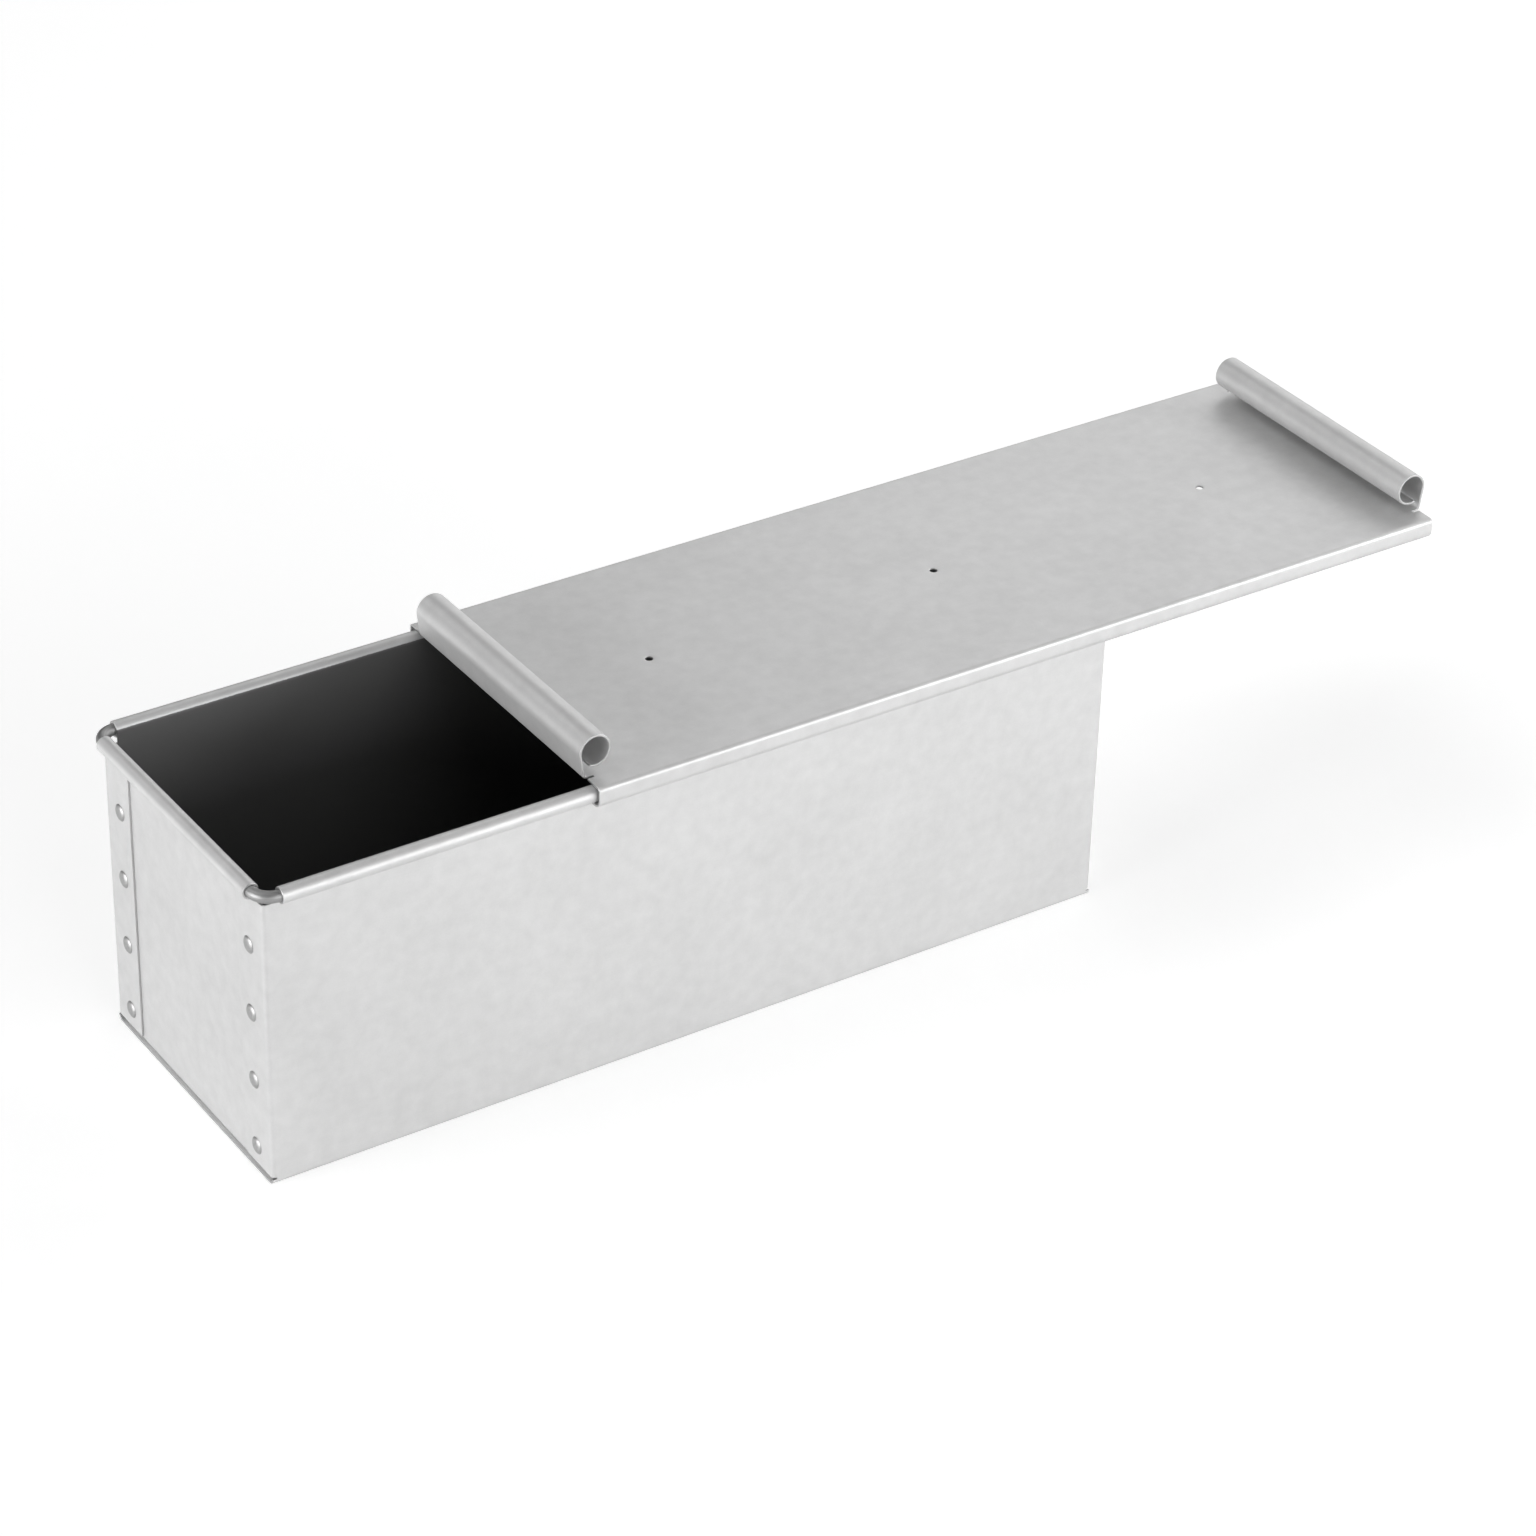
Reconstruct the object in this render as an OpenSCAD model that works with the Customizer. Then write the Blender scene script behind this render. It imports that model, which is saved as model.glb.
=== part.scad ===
// Pullman loaf pan with a sliding cover.
// X runs along the pan, Y across it, Z up. The origin is the centre of the floor's underside.
// The cover is drawn out towards +X, as it stands at rest.

/* [Pan] */
// Length of the pan over its end tabs
pan_len = 300; // [240:1:360]
// Width of the pan over its long sides
pan_wid = 101; // [80:1:130]
// Height of the rims above the surface that the pan stands on
rim_h = 105.5; // [80:0.5:130]
// Thickness of the pan's sheet
pan_t = 0.7; // [0.5:0.05:1]
// Inside radius of the fold between floor and long side
floor_fold_r = 1.3; // [1:0.1:4]

/* [Corner tabs] */
// Width of each tab on the end panel, from the outside corner
tab_w = 16; // [13:0.5:24]
// Inside radius of the upright fold between long side and tab
tab_fold_r = 0.8; // [0.4:0.1:1.2]
// Height of the slit under each tab that lets the sheet fold
tab_slit = 0.6; // [0.3:0.1:1.5]
// Room between the tops of the tabs and the rolled rims above them
tab_room = 0.8; // [0.3:0.1:2]

/* [End panels] */
// Length of the foot flange that lies on the floor
foot_len = 14; // [8:1:30]
// Inside radius of the fold between end panel and foot flange
foot_fold_r = 0.8; // [0.4:0.1:2]
// Side clearance of an end panel inside the trough's folds
end_clear = 0.1; // [0.05:0.05:0.5]

/* [Rolled rims] */
// Diameter of the wire inside the rims
wire_d = 3.8; // [3:0.1:5]
// Radial room between the wire and the sheet rolled around it
wire_fit = 0.05; // [0.03:0.01:0.15]
// Radius of the wire's centre line round a corner
wire_bend_r = 6; // [4.5:0.5:12]
// Gap between the rolled sheet's edge and the side of the pan
roll_slit = 0.15; // [0.05:0.05:0.6]

/* [Rivets] */
// Rivets in each tab
rivet_count = 4; // [2:1:6]
// Height of the lowest rivet
rivet_low = 9; // [7:0.5:14]
// Distance of the highest rivet below the top of its tab
rivet_below_top = 18.4; // [6:0.1:24]
// Distance of the rivets from the outside corner
rivet_inset = 9.5; // [6:0.5:10]
// Diameter of a rivet's shank
rivet_d = 3; // [2:0.1:4]
// Diameter of a rivet's head
rivet_head_d = 5.6; // [4.5:0.1:6]
// Height of a rivet's head
rivet_head_h = 0.7; // [0.4:0.1:1.2]
// Diameter of the flattened tail inside the pan
rivet_tail_d = 4.8; // [4.2:0.1:6]
// Height of the flattened tail
rivet_tail_h = 0.5; // [0.3:0.1:1]
// Radial room of a shank in its hole
rivet_fit = 0.03; // [0.02:0.01:0.1]

/* [Cover] */
// How far the closed cover reaches past each end of the pan
lid_over = 10; // [7:0.5:20]
// Thickness of the cover's sheet
lid_t = 0.7; // [0.5:0.05:1]
// How far the cover is drawn out at rest
lid_open = 118; // [0:1:200]
// Clearance of the channels above and below the rolled rim
lid_gap = 0.3; // [0.25:0.05:0.6]
// Clearance of the channels beside the rolled rim
lid_side_gap = 0.7; // [0.4:0.05:1.5]
// Clearance between the channel's lip and the side of the pan
lip_clear = 1.2; // [0.5:0.1:1.6]
// Inside radius of the fold between plate and channel
channel_top_r = 0.8; // [0.4:0.1:1]
// Inside radius of the fold between channel and lip
channel_low_r = 2.1; // [1:0.1:2.5]

/* [Grips] */
// Distance from each end of a grip to the side of the cover
grip_inset = 8; // [6:0.5:20]
// Outside diameter of the rolled grip
grip_d = 10.8; // [7:0.2:14]
// Gap between the roll and the plate under it
grip_gap = 2.6; // [1:0.1:5]
// Distance from the end of the cover in to the middle of the roll
grip_in = 4.4; // [3.5:0.1:6]
// Angle of the sheet in the roll, counted from the flange
grip_wrap = 300; // [240:5:330]
// Inside radius of the fold between plate and flange
grip_fold_r = 0.8; // [0.4:0.1:1.5]
// Width of the slot that frees the flange from the channel
relief_w = 1; // [0.6:0.1:1.2]
// Length of that slot
relief_len = 3.5; // [2.5:0.5:8]
// How far the plate's corners stand back from the end of the cover
corner_back = 1; // [0:0.5:3]

/* [Vent holes] */
// Number of holes in a row along the middle of the cover
vent_count = 3; // [1:1:5]
// Diameter of a vent hole
vent_d = 2.5; // [2:0.5:6]

/* [Hidden] */
$fn = 96;
// Overlap of two shapes that are one sheet
weld = 0.01;
// How far a cutting shape reaches past the sheet that it cuts
past = 1;

// Outside radius of the sheet rolled around the wire, the height of its centre, and its angle
roll_r = wire_d / 2 + wire_fit + pan_t;
roll_z = rim_h - roll_r;
roll_low = rim_h - 2 * roll_r;
rim_wrap = 360 - acos((roll_r - pan_t - roll_slit) / roll_r);
// Inside faces of the long sides, and the centre lines of the rolled long rims
side_in = pan_wid / 2 - pan_t;
roll_y = side_in + roll_r;
// Faces of the end panels, and the centre lines of the rolled end rims
end_out = pan_len / 2 - pan_t;
end_in = end_out - pan_t;
roll_x = end_in + roll_r;
// The rolls stop where the wire starts to bend
roll_end_x = roll_x - wire_bend_r;
roll_end_y = roll_y - wire_bend_r;

// Outside radii of the folds
floor_fold_out = floor_fold_r + pan_t;
tab_fold_out = tab_fold_r + pan_t;
foot_fold_out = foot_fold_r + pan_t;
// Lower and upper ends of the tabs
tab_low = floor_fold_out + tab_slit;
tab_top = roll_low - tab_room;
// Half the width of an end panel: between the upright folds, and beside the floor's folds
end_half = side_in - tab_fold_r - end_clear;
foot_half = pan_wid / 2 - floor_fold_out - end_clear;
foot_step = tab_low + 2;
// Heights of the rivets in a tab
rivet_pitch = (tab_top - rivet_below_top - rivet_low) / (rivet_count - 1);
rivet_heights = [for (i = [0 : rivet_count - 1]) rivet_low + i * rivet_pitch];

// Heights of the cover: underside and top of the plate, underside of the lips
lid_under = rim_h + lid_gap;
lid_top = lid_under + lid_t;
lip_low = roll_low - lid_gap - lid_t;
// Faces of the channels, and the edges of the lips
channel_in = roll_y + roll_r + lid_side_gap;
channel_out = channel_in + lid_t;
lip_edge = pan_wid / 2 + lip_clear;
channel_top_out = channel_top_r + lid_t;
channel_low_out = channel_low_r + lid_t;
// Half the length of the cover, and half the width of its flat plate
lid_half = pan_len / 2 + lid_over;
plate_half = channel_out - channel_top_out;
// Roll of a grip
grip_r = grip_d / 2;
grip_z = lid_top + grip_gap + grip_r;
grip_fold_out = grip_fold_r + lid_t;
grip_half = channel_out - grip_inset;
// The flange of a grip touches both its fold and its roll: its lean from upright, outwards when negative
grip_fold_z = lid_under + grip_fold_out;
grip_aside = grip_in - grip_fold_out;
grip_rise = grip_z - grip_fold_z;
grip_apart = norm([grip_aside, grip_rise]);
grip_lean = atan2(grip_aside, grip_rise) + asin((grip_fold_out - grip_r) / grip_apart);
grip_flange = sqrt(grip_apart ^ 2 - (grip_fold_out - grip_r) ^ 2);
vent_pitch = 2 * lid_half / vent_count;

// Bent sheet in outline: a ring of thickness t that runs from one angle through a sweep
module sheet_arc(r_out, t, from, sweep) {
    open = 360 - sweep;
    steps = ceil(open / 60);
    difference() {
        circle(r = r_out);
        circle(r = r_out - t);
        polygon(concat([[0, 0]],
            [for (i = [0 : steps]) let (a = from + sweep + i * open / steps) 4 * r_out * [cos(a), sin(a)]]));
    }
}

// Strip of an outline, to both sides of the middle and from one height to another
module strip(half, low, high) {
    translate([-half, low]) square([2 * half, high - low]);
}

// Carries an outline in Y and Z along X
module along_x(from, to) {
    translate([from, 0, 0]) rotate([90, 0, 90]) linear_extrude(to - from) children();
}

// Carries an outline in X and Z along Y, to both sides of the middle
module along_y(half) {
    translate([0, half, 0]) rotate([90, 0, 0]) linear_extrude(2 * half) children();
}

// A shape and its copy on the other side of the middle
module both_y() {
    children();
    mirror([0, 1, 0]) children();
}

// A shape and its copy at the other end
module both_x() {
    children();
    mirror([1, 0, 0]) children();
}

// Rolled rim in outline: the sheet comes up on the left, and turns over the wire and under it
module rolled_rim() {
    sheet_arc(roll_r, pan_t, 180 - rim_wrap, rim_wrap);
}

// Places a shape at each rivet of the front left corner, with its Z into the pan
module at_rivets() {
    for (z = rivet_heights)
        translate([-pan_len / 2, -pan_wid / 2 + rivet_inset, z]) rotate([0, 90, 0]) children();
}

module rivet_hole() {
    translate([0, 0, -past]) cylinder(d = rivet_d + 2 * rivet_fit, h = 2 * pan_t + 2 * past);
}

// Upright fold and tab at the front left corner
module corner_tab() {
    translate([0, 0, tab_low]) linear_extrude(tab_top - tab_low) {
        translate([-pan_len / 2 + tab_fold_out, -pan_wid / 2 + tab_fold_out])
            sheet_arc(tab_fold_out, pan_t, 180, 90);
        translate([-pan_len / 2, -pan_wid / 2 + tab_fold_out - weld])
            square([pan_t, tab_w - tab_fold_out + weld]);
    }
}

module pan_trough() {
    wall_half = pan_len / 2 - tab_fold_out + weld;
    color("silver") {
        // Floor and its folds, as long as the pan
        along_x(-pan_len / 2, pan_len / 2) {
            strip(pan_wid / 2 - floor_fold_out + weld, 0, pan_t);
            for (side = [0, 1]) mirror([side, 0])
                translate([pan_wid / 2 - floor_fold_out, floor_fold_out]) sheet_arc(floor_fold_out, pan_t, 270, 90);
        }
        // Long sides between the upright folds, and their rims where the wire runs straight
        both_y() {
            along_x(-wall_half, wall_half)
                translate([side_in, floor_fold_out - weld]) square([pan_t, tab_top - floor_fold_out + weld]);
            along_x(-roll_end_x, roll_end_x) {
                translate([side_in, tab_top - weld]) square([pan_t, roll_z - tab_top + 2 * weld]);
                translate([roll_y, roll_z]) rolled_rim();
            }
        }
        both_x() both_y() difference() {
            corner_tab();
            at_rivets() rivet_hole();
        }
    }
}

// End panel at the left end
module end_panel() {
    color("silver") difference() {
        union() {
            along_x(-end_out, -end_in) {
                strip(foot_half, pan_t + foot_fold_out - weld, foot_step);
                strip(end_half, foot_step - weld, tab_top);
                strip(roll_end_y, tab_top - weld, roll_z + weld);
            }
            // Fold and foot flange on the floor
            along_y(foot_half) {
                translate([-end_out + foot_fold_out, pan_t + foot_fold_out])
                    sheet_arc(foot_fold_out, pan_t, 180, 90);
                translate([-end_out + foot_fold_out - weld, pan_t])
                    square([foot_len - foot_fold_out + weld, pan_t]);
            }
            along_y(roll_end_y) translate([-roll_x, roll_z]) mirror([1, 0]) rolled_rim();
        }
        both_y() at_rivets() rivet_hole();
    }
}

module end_panel_left() {
    end_panel();
}

module end_panel_right() {
    mirror([1, 0, 0]) end_panel();
}

// Closed ring of wire: four straights and four bends
module rim_wire() {
    color("dimgray") translate([0, 0, roll_z]) {
        both_y() translate([-roll_end_x, roll_y, 0]) rotate([0, 90, 0]) cylinder(d = wire_d, h = 2 * roll_end_x);
        both_x() translate([roll_x, roll_end_y, 0]) rotate([90, 0, 0]) cylinder(d = wire_d, h = 2 * roll_end_y);
        both_x() both_y() translate([roll_end_x, roll_end_y, 0])
            rotate_extrude(angle = 90) translate([wire_bend_r, 0]) circle(d = wire_d);
    }
}

// One rivet along Z: a flat head outside the tab, and a flattened tail inside the pan
module rivet() {
    head_r = rivet_head_d / 2;
    tail_r = rivet_tail_d / 2;
    tail_z = 2 * pan_t;
    color("gray") rotate_extrude() polygon([
        [0, -rivet_head_h], [head_r - rivet_head_h, -rivet_head_h], [head_r, -rivet_head_h / 3], [head_r, 0],
        [rivet_d / 2, 0], [rivet_d / 2, tail_z], [tail_r, tail_z], [tail_r, tail_z + rivet_tail_h / 3],
        [tail_r - rivet_tail_h, tail_z + rivet_tail_h], [0, tail_z + rivet_tail_h]]);
}

module rivets_front_left() {
    at_rivets() rivet();
}

module rivets_rear_left() {
    mirror([0, 1, 0]) at_rivets() rivet();
}

module rivets_front_right() {
    mirror([1, 0, 0]) at_rivets() rivet();
}

module rivets_rear_right() {
    mirror([1, 0, 0]) mirror([0, 1, 0]) at_rivets() rivet();
}

// One channel in Y and Z, from the plate's fold round to the edge of the lip
module channel_outline() {
    bend_y = channel_out - channel_low_out;
    bend_z = lip_low + channel_low_out;
    translate([plate_half, lid_top - channel_top_out]) sheet_arc(channel_top_out, lid_t, 0, 90);
    translate([channel_in, bend_z - weld]) square([lid_t, lid_top - channel_top_out - bend_z + 2 * weld]);
    translate([bend_y, bend_z]) sheet_arc(channel_low_out, lid_t, 270, 90);
    translate([lip_edge, lip_low]) square([bend_y - lip_edge + weld, lid_t]);
}

// Left grip in X and Z from the end of the cover: fold, flange, and the roll turned inwards
module grip_outline() {
    from_fold = 180 - grip_lean;
    translate([grip_fold_out, grip_fold_z]) sheet_arc(grip_fold_out, lid_t, from_fold, 90 + grip_lean);
    translate([grip_fold_out, grip_fold_z]) rotate(from_fold) translate([grip_fold_out - lid_t, -grip_flange]) {
        square([lid_t, grip_flange]);
        translate([lid_t / 4, -weld]) square([lid_t / 2, grip_flange + 2 * weld]);
    }
    translate([grip_in, grip_z]) sheet_arc(grip_r, lid_t, from_fold - grip_wrap, grip_wrap);
}

module lid() {
    corner_half = lid_half - corner_back;
    bed_half = lid_half - grip_fold_out + weld;
    color("silver") translate([lid_open, 0, 0]) difference() {
        union() {
            // Plate between the grips, and its corners beyond their ends
            translate([-bed_half, -grip_half - relief_w, lid_under])
                cube([2 * bed_half, 2 * (grip_half + relief_w), lid_t]);
            both_y() {
                translate([-corner_half, grip_half + relief_w - weld, lid_under])
                    cube([2 * corner_half, plate_half - grip_half - relief_w + 2 * weld, lid_t]);
                along_x(-corner_half, corner_half) channel_outline();
            }
            both_x() along_y(grip_half) translate([-lid_half, 0]) grip_outline();
        }
        // Slots at the ends of the grips
        both_x() both_y() translate([-lid_half - past, grip_half, lid_under - past])
            cube([relief_len + past, relief_w, lid_t + 2 * past]);
        for (i = [0 : vent_count - 1])
            translate([(i - (vent_count - 1) / 2) * vent_pitch, 0, lid_under - past])
                cylinder(d = vent_d, h = lid_t + 2 * past);
    }
}

pan_trough();
end_panel_left();
end_panel_right();
rim_wire();
rivets_front_left();
rivets_rear_left();
rivets_front_right();
rivets_rear_right();
lid();
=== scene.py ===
"""Pullman loaf pan of coated sheet steel with its sliding cover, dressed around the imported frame.

Lengths of the pan and its cover are millimetres in the frame of the part; a mesh is turned to metres
when it is made. X runs along the pan, Y across it, Z up.
"""

import logging
import math
from dataclasses import dataclass, field
from enum import Enum

import bmesh
import bpy
import numpy as np
from mathutils import Matrix, Vector


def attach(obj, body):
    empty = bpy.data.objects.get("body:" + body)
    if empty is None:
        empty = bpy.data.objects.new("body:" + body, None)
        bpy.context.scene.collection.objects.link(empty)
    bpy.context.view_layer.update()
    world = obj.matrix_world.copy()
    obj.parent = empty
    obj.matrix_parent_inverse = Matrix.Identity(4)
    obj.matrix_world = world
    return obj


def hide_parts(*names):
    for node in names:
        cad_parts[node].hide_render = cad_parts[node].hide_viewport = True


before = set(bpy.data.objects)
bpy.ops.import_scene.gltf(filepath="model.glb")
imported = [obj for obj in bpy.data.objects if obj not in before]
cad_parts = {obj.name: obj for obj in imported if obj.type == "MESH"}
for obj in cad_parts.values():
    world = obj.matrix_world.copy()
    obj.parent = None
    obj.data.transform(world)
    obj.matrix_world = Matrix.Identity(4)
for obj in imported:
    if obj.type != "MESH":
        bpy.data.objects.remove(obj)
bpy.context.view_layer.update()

MM = 0.001
COAT = "coat"
ALONG = "along"
SHARP_EDGE = 35.0
EASED_EDGE = 0.12
FILM = "#686868"
log = logging.getLogger("loaf_pan")


class Face(Enum):
    """Which of an object's two materials a face takes."""

    SHEET = 0
    CUT_EDGE = 1


class Body(Enum):
    """The bodies of the frame that pieces ride on."""

    PAN = "pan"
    COVER = "cover"


class Slot(Enum):
    """Names of the material slots."""

    SHEET = "coated_sheet"
    WIRE = "wire"
    RIVET = "rivet"


# Meshes


@dataclass
class Surface:
    """Points and faces of one closed shell, in millimetres.

    coat is 1 where a point carries the non-stick coating; along is a place on the piece's own length
    and girth, for patterns that follow it.
    """

    points: np.ndarray
    quads: np.ndarray
    kinds: np.ndarray
    triangles: np.ndarray = field(default_factory=lambda: np.zeros((0, 3), int))
    coat: np.ndarray | None = None
    along: np.ndarray | None = None

    def joined(self, others: "list[Surface]") -> "Surface":
        """Puts several coated shells into one.

        Args:
            others: the shells that come after this one.

        Returns:
            One surface with all points and faces.
        """
        parts = [self, *others]
        start = np.cumsum([0] + [len(p.points) for p in parts])[:-1]
        return Surface(
            np.concatenate([p.points for p in parts]),
            np.concatenate([p.quads + s for p, s in zip(parts, start)]),
            np.concatenate([p.kinds for p in parts]),
            np.concatenate([p.triangles + s for p, s in zip(parts, start)]),
            np.concatenate([p.coat for p in parts]),
        )

    def turned(self, degrees: float) -> "Surface":
        """The same shell turned about Z.

        Args:
            degrees: the turn, counter-clockwise from above.

        Returns:
            A turned copy.
        """
        turn = np.array(Matrix.Rotation(math.radians(degrees), 3, "Z"))
        return Surface(self.points @ turn.T, self.quads, self.kinds, self.triangles, self.coat, self.along)

    def make(
        self, name: str, materials: list[bpy.types.Material], sharp: float = SHARP_EDGE
    ) -> bpy.types.Object:
        """Makes the Blender object.

        Args:
            name: the piece's name.
            materials: one material for each Face value in use.
            sharp: edges that turn by more than this many degrees stay sharp.

        Returns:
            The object at the origin, with its place in its mesh.
        """
        mesh = bpy.data.meshes.new(name)
        mesh.from_pydata(self.points * MM, [], [*self.quads.tolist(), *self.triangles.tolist()])
        kinds = np.concatenate([self.kinds, np.zeros(len(self.triangles), int)])
        mesh.polygons.foreach_set("material_index", kinds.astype(np.int32))
        mesh.polygons.foreach_set("use_smooth", np.ones(len(kinds), bool))
        if self.coat is not None:
            layer = mesh.attributes.new(COAT, "FLOAT", "POINT")
            layer.data.foreach_set("value", self.coat.astype(np.float32))
        if self.along is not None:
            layer = mesh.attributes.new(ALONG, "FLOAT_VECTOR", "POINT")
            layer.data.foreach_set("vector", self.along.astype(np.float32).ravel())
        for material in materials:
            mesh.materials.append(material)
        mesh.update()
        mesh.validate()
        mesh.set_sharp_from_angle(angle=math.radians(sharp))
        made = bpy.data.objects.new(name, mesh)
        bpy.context.scene.collection.objects.link(made)
        return made


def place(made: bpy.types.Object, body: Body, nodes: list[str]) -> None:
    """Tells the frame what a piece rides on and the CAD nodes it stands for.

    Args:
        made: the finished object.
        body: the body it moves with.
        nodes: the CAD nodes that it replaces.
    """
    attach(made, body.value)
    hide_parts(*nodes)
    faces = len(made.data.polygons)
    log.info("%s: %d faces, on %s, for %s", made.name, faces, body.value, ", ".join(nodes))


def round_edges(made: bpy.types.Object, width: float) -> None:
    """Takes the sharpness off cut edges with a small bevel.

    Args:
        made: the object.
        width: width of the bevel in millimetres.
    """
    bevel = made.modifiers.new("eased_edges", "BEVEL")
    bevel.width = width * MM
    bevel.segments = 2
    bevel.limit_method = "ANGLE"
    bevel.angle_limit = math.radians(60)
    bevel.use_clamp_overlap = True


# Bent sheet


@dataclass
class CrossSection:
    """Matching points on the two faces of a bent sheet, with a zone number for each stretch.

    It starts at one pair of points and grows by lines and bends.
    """

    upper: np.ndarray
    lower: np.ndarray
    zones: np.ndarray = field(default_factory=lambda: np.zeros(0, int))

    @classmethod
    def start(cls, upper: tuple[float, float], lower: tuple[float, float]) -> "CrossSection":
        """The section with its first pair of points."""
        return cls(np.array([upper], float), np.array([lower], float))

    def _grown(self, upper: np.ndarray, lower: np.ndarray, zone: int) -> "CrossSection":
        """Adds points to both faces.

        Args:
            upper: the new points of the upper face.
            lower: the new points of the lower face.
            zone: the zone number of their stretch.

        Returns:
            The longer section.
        """
        zones = np.concatenate([self.zones, np.full(len(upper), zone)])
        return CrossSection(np.vstack([self.upper, upper]), np.vstack([self.lower, lower]), zones)

    def line(
        self, upper: tuple[float, float], lower: tuple[float, float], count: int, zone: int
    ) -> "CrossSection":
        """Adds a straight stretch: points evenly spaced to the given ends.

        Args:
            upper: end of the upper face.
            lower: end of the lower face.
            count: steps along it.
            zone: its zone number.

        Returns:
            The longer section.
        """
        t = np.linspace(0, 1, count + 1)[1:, None]
        return self._grown(
            self.upper[-1] * (1 - t) + np.array(upper) * t,
            self.lower[-1] * (1 - t) + np.array(lower) * t,
            zone,
        )

    def bend(
        self,
        centre: tuple[float, float],
        radii: tuple[float, float],
        angles: tuple[float, float],
        count: int,
        zone: int,
    ) -> "CrossSection":
        """Adds a bend: both faces follow circles about one centre.

        Args:
            centre: the bend's centre.
            radii: radius of the upper and of the lower face.
            angles: first and last angle in degrees.
            count: steps along it.
            zone: its zone number.

        Returns:
            The longer section.
        """
        a = np.radians(np.linspace(*angles, count + 1)[1:])
        ring = np.stack([np.cos(a), np.sin(a)], 1)
        return self._grown(np.array(centre) + radii[0] * ring, np.array(centre) + radii[1] * ring, zone)

    def mirrored(self) -> "CrossSection":
        """The section with its mirror image before it, about its first coordinate's zero.

        Returns:
            The whole section.
        """
        flip = np.array([-1.0, 1.0])
        return CrossSection(
            np.vstack([self.upper[:0:-1] * flip, self.upper]),
            np.vstack([self.lower[:0:-1] * flip, self.lower]),
            np.concatenate([self.zones[::-1], self.zones]),
        )


@dataclass
class Blank:
    """A cut and bent sheet, worked out on the grid of its flat blank.

    Each grid point has a place on the upper and on the lower face. cells says which cells are left
    after cutting, and patched which of them another surface fills.
    """

    upper: np.ndarray
    lower: np.ndarray
    cells: np.ndarray
    coat_upper: np.ndarray
    coat_lower: np.ndarray
    patched: np.ndarray | None = None

    def push(self, depth: np.ndarray) -> None:
        """Moves both faces along the sheet's normal, from the lower to the upper face.

        Args:
            depth: millimetres for each grid point.
        """
        normal = self.upper - self.lower
        normal /= np.linalg.norm(normal, axis=2, keepdims=True)
        self.upper += normal * depth[..., None]
        self.lower += normal * depth[..., None]

    def surface(self) -> Surface:
        """The closed shell: both faces, and a wall along every cut edge.

        Returns:
            The surface, with cut edges marked as such.
        """
        rows, columns = self.cells.shape
        index = np.arange((rows + 1) * (columns + 1)).reshape(rows + 1, columns + 1)
        other = index + index.size
        patched = np.zeros_like(self.cells) if self.patched is None else self.patched
        shown = self.cells & ~patched
        i, j = np.nonzero(shown)
        corner = [(i, j), (i, j + 1), (i + 1, j + 1), (i + 1, j)]
        top = np.stack([index[c] for c in corner], 1)
        bottom = np.stack([other[c] for c in corner[::-1]], 1)
        solid = np.pad(self.cells | patched, 1)
        walls = []
        # A wall stands where a cell's neighbour is missing; it runs against the upper face's own turn
        for step_i, step_j, first, second in (
            (0, -1, (0, 0), (1, 0)),
            (0, 1, (1, 1), (0, 1)),
            (-1, 0, (0, 1), (0, 0)),
            (1, 0, (1, 0), (1, 1)),
        ):
            beside = solid[1 + step_i :, 1 + step_j :][:rows, :columns]
            i, j = np.nonzero(shown & ~beside)
            a, b = (i + first[0], j + first[1]), (i + second[0], j + second[1])
            walls.append(np.stack([index[a], index[b], other[b], other[a]], 1))
        quads = np.concatenate([top, bottom, *walls])
        kinds = np.full(len(quads), Face.SHEET.value)
        kinds[len(top) + len(bottom) :] = Face.CUT_EDGE.value
        used, quads = np.unique(quads, return_inverse=True)
        points = np.concatenate([self.upper.reshape(-1, 3), self.lower.reshape(-1, 3)])
        coat = np.concatenate([self.coat_upper.ravel(), self.coat_lower.ravel()])
        return Surface(points[used], quads.reshape(-1, 4), kinds, coat=coat[used])


def rises(value: np.ndarray, low: float, high: float) -> np.ndarray:
    """A smooth step: 3 t squared less 2 t cubed, where t runs from 0 at low to 1 at high.

    Args:
        value: where it is asked for.
        low: where it starts.
        high: where it ends, which may be the smaller of the two.

    Returns:
        The step for each value.
    """
    t = np.clip((value - low) / (high - low), 0, 1)
    return t * t * (3 - 2 * t)


def waves(a: np.ndarray, b: np.ndarray, seed: float) -> np.ndarray:
    """Slow swells of a flat sheet: three crossed sines of uneven length, from -1 to 1.

    Args:
        a: millimetres one way.
        b: millimetres the other way.
        seed: shifts the swells, so that no two sheets are alike.

    Returns:
        The height for each point.
    """
    return (
        np.sin(a / 23 + seed) * np.sin(b / 17 + 2 * seed)
        + np.sin(a / 41 + 3 * seed) * np.sin(b / 29 + seed)
        + np.sin(a / 67 - seed)
    ) / 3


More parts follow.
